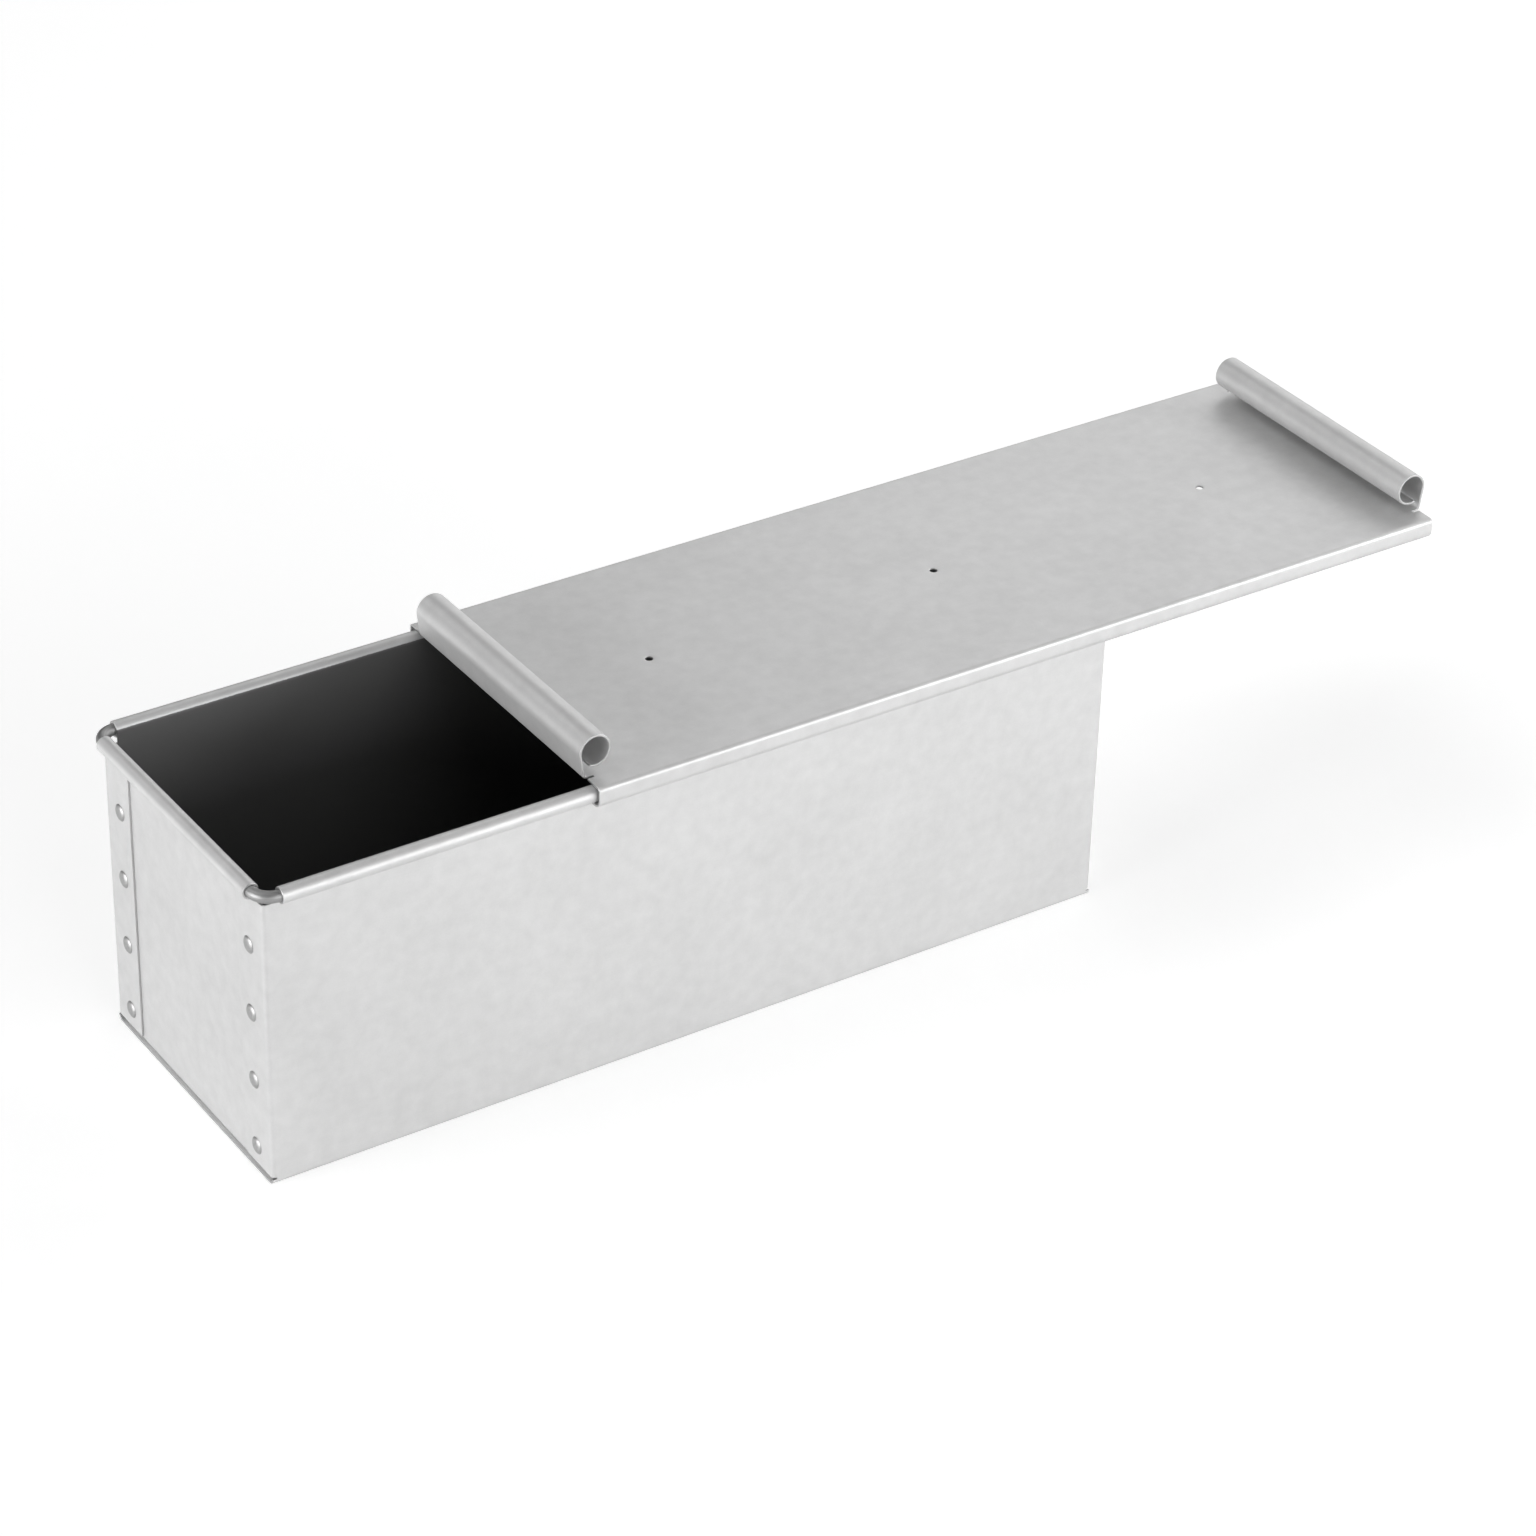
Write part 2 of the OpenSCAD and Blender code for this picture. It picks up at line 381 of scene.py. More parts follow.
@dataclass(frozen=True)
class Sheet:
    """Sizes that the pan's sheets share."""

    length: float = 300.0
    width: float = 101.0
    rim_height: float = 105.5
    thick: float = 0.7
    tab_fold: float = 0.8
    tab_width: float = 16.0
    tab_room: float = 0.8
    tab_slit: float = 0.6
    floor_fold: float = 1.3
    wire: float = 3.8
    wire_fit: float = 0.05
    wire_bend: float = 6.0
    roll_slit: float = 0.15
    rivet_low: float = 9.0
    rivet_below_top: float = 18.4
    rivet_inset: float = 9.5
    rivets_per_tab: int = 4
    coat_ends_at: float = 163.0
    dimple_depth: float = 0.12
    dimple_reach: float = 4.2

    @property
    def roll(self) -> float:
        """Outside radius of the sheet rolled around the wire."""
        return self.wire / 2 + self.wire_fit + self.thick

    @property
    def roll_z(self) -> float:
        """Height of the rolled rims' centre lines."""
        return self.rim_height - self.roll

    @property
    def roll_y(self) -> float:
        """Centre line of the long rims."""
        return self.width / 2 - self.thick + self.roll

    @property
    def roll_x(self) -> float:
        """Centre line of the end rims."""
        return self.length / 2 - 2 * self.thick + self.roll

    @property
    def roll_turn(self) -> float:
        """Angle of the sheet around the wire."""
        return 360 - math.degrees(math.acos((self.roll - self.thick - self.roll_slit) / self.roll))

    @property
    def tab_low(self) -> float:
        """Height of the tabs' lower ends."""
        return self.floor_fold + self.thick + self.tab_slit

    @property
    def tab_top(self) -> float:
        """Height of the tabs' upper ends."""
        return self.rim_height - 2 * self.roll - self.tab_room

    @property
    def rivet_heights(self) -> np.ndarray:
        """Heights of the rivets in a tab."""
        return np.linspace(self.rivet_low, self.tab_top - self.rivet_below_top, self.rivets_per_tab)

    def rim(self, section: CrossSection, centre: float, zone: int, steps: int = 44) -> CrossSection:
        """Rolls a sheet outwards around the wire.

        Args:
            section: a section that has come up to the rim's centre height.
            centre: the roll's centre, in the section's first coordinate.
            zone: the roll's zone number.
            steps: steps around it.

        Returns:
            The section with its roll.
        """
        inner = self.roll - self.thick
        angles = (180, 180 - self.roll_turn)
        return section.bend((centre, self.roll_z), (self.roll, inner), angles, steps, zone)

    def rim_coat(self, section: CrossSection, centre: float) -> np.ndarray:
        """Non-stick coating of the upper face: whole up to the rim, and fading out low on the roll.

        Args:
            section: the sheet's section.
            centre: the roll's centre, in the section's first coordinate.

        Returns:
            The coating for each point of the section.
        """
        away = np.abs(section.upper[:, 0]) - centre
        up = section.upper[:, 1] - self.roll_z
        turn = np.degrees(np.arctan2(up, away))
        on_roll = (np.hypot(away, up) < self.roll + 0.01) & ((up > 0) | (away > -self.roll + 0.01))
        return np.where(on_roll, rises(turn, self.coat_ends_at - 10, self.coat_ends_at) * (up > 0), 1.0)

    def dimples(self, y: np.ndarray, z: np.ndarray) -> np.ndarray:
        """Shallow hollows that the rivets pull into tab and end panel: bell curves about each rivet.

        Args:
            y: places across the pan.
            z: heights.

        Returns:
            The depth in millimetres.
        """
        aside = np.abs(y) - (self.width / 2 - self.rivet_inset)
        squared = [aside**2 + (z - height) ** 2 for height in self.rivet_heights]
        return self.dimple_depth * sum(np.exp(-away / self.dimple_reach**2) for away in squared)


@dataclass(frozen=True)
class Trough:
    """Floor, long sides with their rolled rims, and the four tabs: one folded sheet.

    Each fade is a pair: where the unevenness is gone, and where it is whole.
    """

    sheet: Sheet = Sheet()
    floor_crown: float = 0.3
    side_swell: float = 0.16
    fade_along: tuple[float, float] = (143.0, 118.0)
    fade_across: tuple[float, float] = (47.0, 20.0)
    fade_low: tuple[float, float] = (4.0, 22.0)
    fade_high: float = 16.0
    side_steps: int = 30
    corner_steps: int = 2
    fold_steps: int = 8

    def across(self) -> CrossSection:
        """Half of the section in Y and Z. Zones: 0 floor and fold, 1 slit, 2 side, 3 rim.

        Returns:
            The section from the middle of the floor to the rim.
        """
        s = self.sheet
        outer, inner = s.width / 2, s.width / 2 - s.thick
        fold = s.floor_fold + s.thick
        half = CrossSection.start((0, s.thick), (0, 0))
        half = half.line((outer - fold, s.thick), (outer - fold, 0), 14, 0)
        half = half.bend((outer - fold, fold), (s.floor_fold, fold), (-90, 0), 8, 0)
        half = half.line((inner, s.tab_low), (outer, s.tab_low), 1, 1)
        half = half.line((inner, s.tab_top), (outer, s.tab_top), 62, 2)
        half = half.line((inner, s.roll_z), (outer, s.roll_z), 2, 3)
        return s.rim(half, s.roll_y, 3)

    def along(self) -> CrossSection:
        """Half of the section in X and the inset from the side's plane.

        Zones: 0 as long as the rim, 1 up to the upright fold, 2 that fold, 3 the tab.

        Returns:
            The section from the pan's middle to the tab's edge.
        """
        s = self.sheet
        fold = s.tab_fold + s.thick
        start, tab = s.length / 2 - fold, s.tab_width - fold
        rim = s.roll_x - s.wire_bend
        half = CrossSection.start((0, 0), (0, 0)).line((rim, 0), (rim, 0), self.side_steps, 0)
        half = half.line((start, 0), (start, 0), self.corner_steps, 1)
        a = np.radians(np.linspace(0, 90, self.fold_steps + 1)[1:])
        bend = [np.stack([start + r * np.sin(a), r * (1 - np.cos(a))], 1) for r in (s.tab_fold, fold)]
        half = half._grown(bend[0], bend[1], 2)
        return half.line((start + s.tab_fold, s.tab_fold + tab), (start + fold, fold + tab), 13, 3)

    def blank(self) -> Blank:
        """Lays both sections out on one grid.

        A point's X and inset come from the section along the pan, its Y and height from the one
        across it, and the inset is taken off Y. The floor's rows run straight on to the pan's end.

        Returns:
            The bent sheet.
        """
        s = self.sheet
        rows, columns = self.across().mirrored(), self.along().mirrored()
        side = np.sign(np.arange(len(rows.upper)) - len(rows.upper) // 2)[:, None]
        base = np.concatenate([[False], rows.zones == 0]) | np.concatenate([rows.zones == 0, [False]])
        reach = s.length / 2 - s.tab_fold - s.thick
        out = np.abs(np.arange(len(columns.upper)) - len(columns.upper) // 2)
        step = np.clip((out - self.side_steps - self.corner_steps) / self.fold_steps, 0, 1)
        flat = np.sign(columns.upper[:, 0]) * (reach + step * (s.length / 2 - reach))
        faces = []
        for across, along in ((rows.upper, columns.upper), (rows.lower, columns.lower)):
            x = np.where(base[:, None] & (step[None] > 0), flat[None], along[None, :, 0])
            inset = np.where(base[:, None], 0.0, along[None, :, 1])
            y = across[:, :1] - side * inset
            z = np.broadcast_to(across[:, 1:], x.shape)
            faces.append(np.stack([x, y, z], 2).astype(float))
        limit = np.array([2, 1, 3, 0])[rows.zones]
        cells = columns.zones[None] <= limit[:, None]
        coat = np.broadcast_to(s.rim_coat(rows, s.roll_y)[:, None], faces[0].shape[:2]).copy()
        # The film ends under the end panels' feet on the floor, and past the upright folds on the sides
        folded = columns.upper[None, :, 1] < s.tab_fold + 0.01
        coat *= np.where(base[:, None], np.abs(faces[0][..., 0]) < reach - 1, folded)
        blank = Blank(faces[0], faces[1], cells, coat, np.zeros_like(coat))
        blank.push(self.relief((faces[0] + faces[1]) / 2, columns.upper[None, :, 1]))
        return blank

    def relief(self, at: np.ndarray, inset: np.ndarray) -> np.ndarray:
        """Hand-made unevenness: a crowned floor, slightly swollen sides, and dimples at the rivets.

        Args:
            at: the middle of the sheet at each grid point.
            inset: how far each column lies in from the side's plane.

        Returns:
            Millimetres towards the inside of the pan.
        """
        s = self.sheet
        x, y, z = at[..., 0], at[..., 1], at[..., 2]
        ends = rises(np.abs(x), *self.fade_along)
        floor = self.floor_crown * rises(np.abs(y), *self.fade_across) * ends * (z < s.thick)
        side = self.side_swell * waves(x, z, 0.9 + np.sign(y)) * ends
        side *= rises(z, *self.fade_low) * rises(z, s.tab_top, s.tab_top - self.fade_high) * (inset < 0.01)
        tab = s.dimples(y, z) * (np.abs(x) > s.length / 2 - s.thick)
        return floor + side + tab

    def build(self, finishes: "Finishes") -> None:
        """Makes the trough's piece.

        Args:
            finishes: the object's finishes.
        """
        made = self.blank().surface().make("trough_sheet", [finishes.sheet, finishes.cut_edge])
        round_edges(made, EASED_EDGE)
        place(made, Body.PAN, ["pan_trough"])


@dataclass(frozen=True)
class EndPanel:
    """One end of the pan: foot flange on the floor, wall, and its own rolled rim.

    The wall's swell is gone at the first height of fade_low and whole at the second, and comes in
    over fade_high below the rim and over fade_aside beside the tabs. welds are places across the
    foot, on a line at the share weld_line of its width.
    """

    sheet: Sheet = Sheet()
    foot: float = 14.0
    foot_fold: float = 0.8
    clearance: float = 0.1
    step: float = 2.0
    swell: float = 0.14
    fade_low: tuple[float, float] = (4.0, 20.0)
    fade_high: float = 14.0
    fade_aside: float = 10.0
    welds: tuple[float, ...] = (-36.0, -12.0, 12.0, 36.0)
    weld_line: float = 0.6
    weld_depth: float = 0.13
    weld_reach: float = 2.4
    rim_steps: int = 32

    def upright(self) -> CrossSection:
        """The right panel's section in X and Z. Zones: 0 foot, 1 wall, 2 rim.

        Returns:
            The section from the foot's edge to the rim.
        """
        s = self.sheet
        outer, inner = s.length / 2 - s.thick, s.length / 2 - 2 * s.thick
        fold = self.foot_fold + s.thick
        low = s.tab_low + self.step
        part = CrossSection.start((outer - self.foot, 2 * s.thick), (outer - self.foot, s.thick))
        part = part.line((outer - fold, 2 * s.thick), (outer - fold, s.thick), 13, 0)
        part = part.bend((outer - fold, s.thick + fold), (self.foot_fold, fold), (-90, 0), 8, 0)
        part = part.line((inner, low), (outer, low), 2, 0)
        part = part.line((inner, s.tab_top), (outer, s.tab_top), 62, 1)
        part = part.line((inner, s.roll_z), (outer, s.roll_z), 2, 2)
        return s.rim(part, s.roll_x, 2)

    def surface(self, turn: float, seed: float) -> Surface:
        """The panel as a closed shell.

        Args:
            turn: 0 for the right end, 180 for the left.
            seed: sets the panel's own swells.

        Returns:
            The surface in its place.
        """
        s = self.sheet
        rows = self.upright()
        rim = s.roll_y - s.wire_bend
        foot = s.width / 2 - s.floor_fold - s.thick - self.clearance
        wall = s.width / 2 - s.thick - s.tab_fold - self.clearance
        half = np.concatenate([np.linspace(0, rim, self.rim_steps + 1), [foot, wall]])
        y = np.concatenate([half[:0:-1], -half])
        zone = np.concatenate([np.zeros(self.rim_steps, int), [1, 2]])
        zone = np.concatenate([zone[::-1], zone])
        cells = zone[None] <= np.array([1, 2, 0])[rows.zones][:, None]
        faces = []
        for face in (rows.upper, rows.lower):
            shape = (len(face), len(y))
            parts = (face[:, :1], y[None], face[:, 1:])
            faces.append(np.stack([np.broadcast_to(p, shape) for p in parts], 2).astype(float))
        coat = np.broadcast_to(s.rim_coat(rows, s.roll_x)[:, None], faces[0].shape[:2]).copy()
        blank = Blank(faces[0], faces[1], cells, coat, np.zeros_like(coat))
        blank.push(self.relief((faces[0] + faces[1]) / 2, seed))
        return blank.surface().turned(turn)

    def relief(self, at: np.ndarray, seed: float) -> np.ndarray:
        """Swells of the wall, the rivets' dimples, and spot-weld marks in the foot flange.

        Args:
            at: the middle of the sheet at each grid point.
            seed: shifts the swells.

        Returns:
            Millimetres towards the inside of the pan.
        """
        s = self.sheet
        x, y, z = at[..., 0], at[..., 1], at[..., 2]
        between_tabs = s.width / 2 - s.tab_width
        wall = self.swell * waves(y, z, seed) * rises(z, *self.fade_low)
        wall *= rises(z, s.tab_top, s.tab_top - self.fade_high)
        wall *= rises(np.abs(y), between_tabs, between_tabs - self.fade_aside)
        middle = s.length / 2 - s.thick - self.foot * self.weld_line
        squared = [(x - middle) ** 2 + (y - weld) ** 2 for weld in self.welds]
        welds = sum(np.exp(-away / self.weld_reach**2) for away in squared)
        return wall + s.dimples(y, z) * (z > s.tab_low) - self.weld_depth * welds * (z < 2 * s.thick)

    def build(self, finishes: "Finishes") -> None:
        """Makes both panels' pieces.

        Args:
            finishes: the object's finishes.
        """
        for name, turn, seed in (("right", 0.0, 2.3), ("left", 180.0, 0.4)):
            made = self.surface(turn, seed).make(f"end_sheet_{name}", [finishes.sheet, finishes.cut_edge])
            round_edges(made, EASED_EDGE)
            place(made, Body.PAN, [f"end_panel_{name}"])


@dataclass(frozen=True)
class RimWire:
    """The closed ring of wire that stiffens the rims and shows bare at the corners."""

    sheet: Sheet = Sheet()
    sides: int = 24
    bend_points: int = 15

    def surface(self) -> Surface:
        """A circle carried along a rectangle with round corners.

        The centre line is four arcs whose end points are joined by straights, and each station's
        circle stands on the line's outward normal and on Z.

        Returns:
            The closed tube, with its own length and girth as an attribute.
        """
        s = self.sheet
        bend = s.wire_bend
        a = np.radians(np.linspace(0, 90, self.bend_points))
        lines, normals = [], []
        for quarter, (sx, sy) in enumerate(((1, 1), (-1, 1), (-1, -1), (1, -1))):
            way = a + quarter * np.pi / 2
            out = np.stack([np.cos(way), np.sin(way)], 1)
            centre = np.array([sx * (s.roll_x - bend), sy * (s.roll_y - bend)])
            lines.append(centre + bend * out)
            normals.append(out)
        line, out = np.concatenate(lines), np.concatenate(normals)
        step = np.linalg.norm(np.roll(line, -1, 0) - line, axis=1)
        travel = np.concatenate([[0], np.cumsum(step)[:-1]])
        t = np.linspace(0, 2 * np.pi, self.sides, endpoint=False)
        radius = s.wire / 2
        flat = line[:, None] + radius * np.cos(t)[None, :, None] * out[:, None]
        height = np.broadcast_to(s.roll_z + radius * np.sin(t), flat.shape[:2])
        points = np.concatenate([flat, height[..., None]], 2).reshape(-1, 3)
        girth = np.stack([np.cos(t), np.sin(t)], 1) * radius
        girth = np.broadcast_to(girth[None], (len(line), self.sides, 2))
        length = np.broadcast_to(travel[:, None, None], (len(line), self.sides, 1))
        along = np.concatenate([length, girth], 2).reshape(-1, 3)
        ring = np.arange(len(line) * self.sides).reshape(len(line), self.sides)
        ahead, beside = np.roll(ring, -1, 0), np.roll(ring, -1, 1)
        both = np.roll(ahead, -1, 1)
        quads = np.stack([ring, ahead, both, beside], 2).reshape(-1, 4)
        return Surface(points, quads, np.zeros(len(quads), int), along=along)

    def build(self, finishes: "Finishes") -> None:
        """Makes the wire's piece.

        Args:
            finishes: the object's finishes.
        """
        made = self.surface().make("rim_wire_ring", [finishes.wire])
        place(made, Body.PAN, ["rim_wire"])


@dataclass(frozen=True)
class Rivets:
    """The rivets of the four corners: low domed heads outside, flattened tails inside."""

    sheet: Sheet = Sheet()
    shank: float = 3.0
    head: float = 5.6
    head_height: float = 0.7
    tail: float = 4.8
    tail_height: float = 0.5
    mark_depth: float = 0.14
    mark_share: float = 0.3
    sides: int = 36
    rings: int = 14
    sharp: float = 50.0

    def dome(self, radius: float, height: float, mark: float) -> np.ndarray:
        """Half outline of a head from its middle to its rim.

        The height falls as the fourth power of the distance from the axis, less a small bell-shaped
        mark that the setting tool leaves in the middle.

        Args:
            radius: the head's radius.
            height: its height.
            mark: depth of the mark.

        Returns:
            Radius and height of each point.
        """
        r = radius * np.sin(np.radians(np.linspace(0, 90, self.rings)))
        rise = height * (1 - (r / radius) ** 4) - mark * np.exp(-((r / (self.mark_share * radius)) ** 2))
        return np.stack([r, rise], 1)

    def outline(self) -> np.ndarray:
        """The rivet's half outline from the head's middle to the tail's middle.

        Returns:
            Radius and depth of each point.
        """
        head = self.dome(self.head / 2, self.head_height, self.mark_depth) * (1, -1)
        tail = self.dome(self.tail / 2, self.tail_height, 0.0)[::-1] + (0, 2 * self.sheet.thick)
        shank = np.array([[self.shank / 2, 0], [self.shank / 2, 2 * self.sheet.thick]])
        return np.concatenate([head, shank, tail])

    def one(self, y: float, z: float) -> Surface:
        """One rivet at the left end: the outline turned about an axis along X.

        Args:
            y: its place across the pan.
            z: its height.

        Returns:
            The closed surface.
        """
        outline = self.outline()
        depth = outline[:, 1] - self.sheet.length / 2
        t = np.linspace(0, 2 * np.pi, self.sides, endpoint=False)
        rings, ends = outline[1:-1], depth[[0, -1]]
        x = np.broadcast_to(depth[1:-1, None], (len(rings), self.sides))
        points = np.stack([x, y + rings[:, :1] * np.cos(t), z + rings[:, :1] * np.sin(t)], 2)
        points = np.concatenate([points.reshape(-1, 3), [[ends[0], y, z], [ends[1], y, z]]])
        ring = np.arange(len(rings) * self.sides).reshape(len(rings), self.sides)
        beside = np.roll(ring, -1, 1)
        quads = np.stack([ring[:-1], beside[:-1], beside[1:], ring[1:]], 2).reshape(-1, 4)
        first, last = np.full(self.sides, len(points) - 2), np.full(self.sides, len(points) - 1)
        triangles = np.concatenate(
            [np.stack([first, beside[0], ring[0]], 1), np.stack([last, ring[-1], beside[-1]], 1)]
        )
        coat = (points[:, 0] > -self.sheet.length / 2 + self.sheet.thick).astype(float)
        return Surface(points, quads, np.zeros(len(quads), int), triangles, coat)

    def build(self, finishes: "Finishes") -> None:
        """Makes one piece for each corner's rivets.

        Args:
            finishes: the object's finishes.
        """
        across = self.sheet.width / 2 - self.sheet.rivet_inset
        for corner, side, turn in (
            ("front_left", -1, 0.0),
            ("rear_left", 1, 0.0),
            ("front_right", 1, 180.0),
            ("rear_right", -1, 180.0),
        ):
            each = [self.one(side * across, z) for z in self.sheet.rivet_heights]
            whole = each[0].joined(each[1:]).turned(turn)
            made = whole.make(f"rivet_set_{corner}", [finishes.rivet], self.sharp)
            place(made, Body.PAN, [f"rivets_{corner}"])


@dataclass(frozen=True)
class Cover:
    """The sliding cover: plate with vent holes, side channels and rolled end grips, one sheet.

    Each fade is a pair of places from the middle: where the plate's swell is gone, and where it is
    whole. The film is gone and whole at film_across from the middle and film_along from the ends.
    """

    sheet: Sheet = Sheet()
    half: float = 160.0
    drawn_out: float = 118.0
    gap: float = 0.3
    side_gap: float = 0.7
    lip_clear: float = 1.2
    top_fold: float = 0.8
    low_fold: float = 2.1
    grip_inset: float = 8.0
    grip: float = 10.8
    grip_gap: float = 2.6
    grip_in: float = 4.4
    grip_fold: float = 0.8
    grip_turn: float = 300.0
    slot_width: float = 1.0
    slot_length: float = 3.5
    corner_back: float = 1.0
    vent: float = 2.5
    vents: int = 3
    patch: float = 6.0
    patch_steps: int = 4
    patch_rings: int = 8
    swell: float = 0.09
    fade_along: tuple[float, float] = (154.0, 130.0)
    fade_across: tuple[float, float] = (44.0, 30.0)
    lip_depth: float = 0.16
    lip_reach: float = 0.7
    film_across: tuple[float, float] = (50.0, 47.0)
    film_along: tuple[float, float] = (2.0, 5.0)
    flat_end: float = 3.0
    fold_steps: int = 9
    flange_steps: int = 4
    roll_steps: int = 48

    @property
    def under(self) -> float:
        """Height of the plate's underside."""
        return self.sheet.rim_height + self.gap

    @property
    def top(self) -> float:
        """Height of the plate's top."""
        return self.under + self.sheet.thick

    @property
    def face(self) -> float:
        """Distance of the channels' outer faces from the middle."""
        return self.sheet.roll_y + self.sheet.roll + self.side_gap + self.sheet.thick

    @property
    def pitch(self) -> float:
        """Distance between vent holes."""
        return 2 * self.half / self.vents

    @property
    def lean(self) -> float:
        """Angle of the grips' flanges from upright: the common tangent of their fold and their roll.

        Returns:
            Degrees, negative where a flange leans outwards.
        """
        fold, radius = self.grip_fold + self.sheet.thick, self.grip / 2
        in_by = self.grip_in - fold
        up_by = self.top + self.grip_gap + radius - self.under - fold
        tangent = math.asin((fold - radius) / math.hypot(in_by, up_by))
        return math.degrees(math.atan2(in_by, up_by) + tangent)

    def across(self) -> CrossSection:
        """Half of the section in Y and Z. Zones: 0 as wide as the grip, 1 slot, 2 edge and channel.

        Returns:
            The section from the plate's middle to the channel's lip.
        """
        t = self.sheet.thick
        grip = self.face - self.grip_inset
        plate, fold = self.face - self.top_fold - t, self.top_fold + t
        low = self.low_fold + t
        lip = self.sheet.rim_height - 2 * self.sheet.roll - self.gap - t
        edge = self.sheet.width / 2 + self.lip_clear
        part = CrossSection.start((0, self.top), (0, self.under))
        for end, count, zone in (
            (self.patch, self.patch_steps, 0),
            (grip, 9, 0),
            (grip + self.slot_width, 1, 1),
            (plate, 3, 2),
        ):
            part = part.line((end, self.top), (end, self.under), count, zone)
        part = part.bend((plate, self.top - fold), (fold, self.top_fold), (90, 0), 8, 2)
        part = part.line((self.face, lip + low), (self.face - t, lip + low), 3, 2)
        part = part.bend((self.face - low, lip + low), (low, self.low_fold), (0, -90), 12, 2)
        return part.line((edge, lip), (edge, lip + t), 2, 2)

    def along(self) -> CrossSection:
        """Half of the section in X and Z. Zones: 0 to the slots, 1 to the fold, 2 its first step, 3 grip.

        Returns:
            The section from the plate's middle to the end of the roll.
        """
        t, fold = self.sheet.thick, self.grip_fold + self.sheet.thick
        bed = self.half - fold
        radius = self.grip / 2
        roll_x, roll_z = self.half - self.grip_in, self.top + self.grip_gap + radius
        lean = self.lean
        a = math.radians(lean)
        part = CrossSection.start((0, self.top), (0, self.under))
        for end, count, zone in (
            (self.patch, self.patch_steps, 0),
            (self.pitch - self.patch, 18, 0),
            (self.pitch, self.patch_steps, 0),
            (self.pitch + self.patch, self.patch_steps, 0),
            (self.half - self.slot_length, 9, 0),
            (bed, 1, 1),
        ):
            part = part.line((end, self.top), (end, self.under), count, zone)
        part = part.bend((bed, self.under + fold), (fold - t, fold), (-90, lean), self.fold_steps, 3)
        part.zones[-self.fold_steps] = 2
        ends = [(roll_x + r * math.cos(a), roll_z + r * math.sin(a)) for r in (radius - t, radius)]
        part = part.line(ends[0], ends[1], self.flange_steps, 3)
        angles = (lean, lean + self.grip_turn)
        return part.bend((roll_x, roll_z), (radius - t, radius), angles, self.roll_steps, 3)

    def relief(self, x: np.ndarray, y: np.ndarray) -> np.ndarray:
        """Slow swells of the plate, gone before its edges, and a turned-in lip round each vent hole.

        Args:
            x: places along the cover, from its middle.
            y: places across it.

        Returns:
            Millimetres upwards.
        """
        plate = self.swell * waves(x, y, 1.7)
        plate *= rises(np.abs(y), *self.fade_across) * rises(np.abs(x), *self.fade_along)
        nearest = np.abs(x - np.round(x / self.pitch) * self.pitch)
        around = np.hypot(nearest, y) - self.vent / 2
        return plate - self.lip_depth * np.exp(-np.maximum(around, 0) / self.lip_reach)

    def blank(self) -> Blank:
        """Lays both sections out on one grid: their heights above the plate add up.

        The edges beside the grips run straight on to the cover's end.

        Returns:
            The bent sheet with its middle at X = 0.
        """
        rows, columns = self.across().mirrored(), self.along().mirrored()
        grip = self.face - self.grip_inset
        edge = (np.abs(rows.upper[:, 0]) > grip + self.slot_width / 2) | (rows.upper[:, 1] < self.top - 0.01)
        bed = self.half - self.grip_fold - self.sheet.thick
        beyond = np.arange(len(columns.upper)) - len(columns.upper) // 2
        first = len(self.along().upper) - 1 - self.roll_steps - self.flange_steps - self.fold_steps
        flat = np.sign(beyond) * np.where(np.abs(beyond) > first, self.half - self.corner_back, bed)
        past = np.abs(beyond) > first
        faces = []
        for across, along, level in (
            (rows.upper, columns.upper, self.top),
            (rows.lower, columns.lower, self.under),
        ):
            straight = edge[:, None] & past[None]
            x = np.where(straight, flat[None], along[None, :, 0])
            rise = np.where(edge[:, None], 0.0, along[None, :, 1] - level)
            y = np.broadcast_to(across[:, :1], x.shape)
            faces.append(np.stack([x, y, across[:, 1:] + rise], 2).astype(float))
        limit = np.array([3, 0, 2])[rows.zones]
        cells = columns.zones[None] <= limit[:, None]
        across = (rows.upper[1:, 0] + rows.upper[:-1, 0]) / 2
        centre = (columns.upper[1:, 0] + columns.upper[:-1, 0]) / 2
        near = np.abs(centre - np.round(centre / self.pitch) * self.pitch) < self.patch
        near &= np.abs(centre) < self.pitch + self.patch
        patched = (np.abs(across) < self.patch)[:, None] & near[None] & (columns.zones < 2)[None]
        patched &= (rows.zones == 0)[:, None]
        x, y = faces[0][..., 0], faces[0][..., 1]
        # The film under the plate fades out before the channels and the ends
        under = rises(np.abs(y), *self.film_across)
        under *= rises(np.abs(x), *(self.half - inset for inset in self.film_along))
        under *= (faces[1][..., 2] < self.top) & (faces[1][..., 2] > self.under - 0.01)
        blank = Blank(faces[0], faces[1], cells, np.zeros_like(under), under, patched)
        flat_part = (np.abs(x) < self.half - self.flat_end) & (np.abs(y) < grip)
        blank.push(self.relief(x, y) * flat_part)
        return blank

    def vent_patch(self, centre: float) -> Surface:
        """The plate around one vent hole: rings that pass from a square to the hole's circle.

        Each ring is a weighted mean of the square's outline and of the circle on the same rays.

        Args:
            centre: the hole's place along the cover.

        Returns:
            Both faces around the hole and the hole's wall.
        """
        edge = np.linspace(-self.patch, self.patch, 2 * self.patch_steps + 1)[:-1]
        side = np.full(len(edge), self.patch)
        square = np.concatenate(
            [np.stack(p, 1) for p in ((side, edge), (-edge, side), (-side, -edge), (edge, -side))]
        )
        circle = square / np.linalg.norm(square, axis=1, keepdims=True) * self.vent / 2
